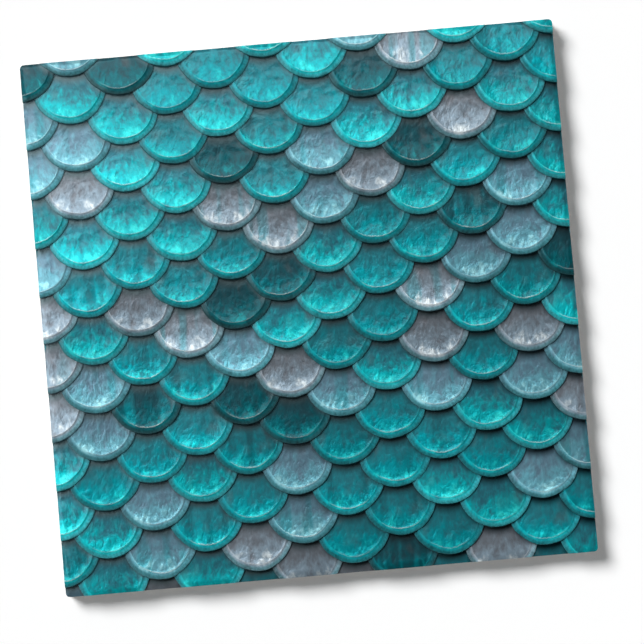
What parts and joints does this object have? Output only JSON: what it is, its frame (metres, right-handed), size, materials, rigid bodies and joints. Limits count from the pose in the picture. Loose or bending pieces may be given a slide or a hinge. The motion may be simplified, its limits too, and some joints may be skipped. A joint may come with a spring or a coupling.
{
  "type": "fish scale tile",
  "caption": "Square glazed ceramic wall tile, its face moulded as rows of overlapping round fish scales, with a keyed flat back for setting in adhesive.",
  "frame": {"origin": "centre of the back face, which lies on z = 0", "axes": "+Z out of the glazed face, +Y towards the edge that the scales start from, so their lips hang towards -Y; +X to the right as seen from the front"},
  "size_m": [0.1524, 0.1524, 0.008],
  "materials": {
    "glaze": "glossy teal and silver-grey lustre glaze on the face; bare off-white fired clay on the back and the lower part of the sides"
  },
  "bodies": {
    "root": {"fish_scale_tile": "glaze"}
  },
  "joints": []
}
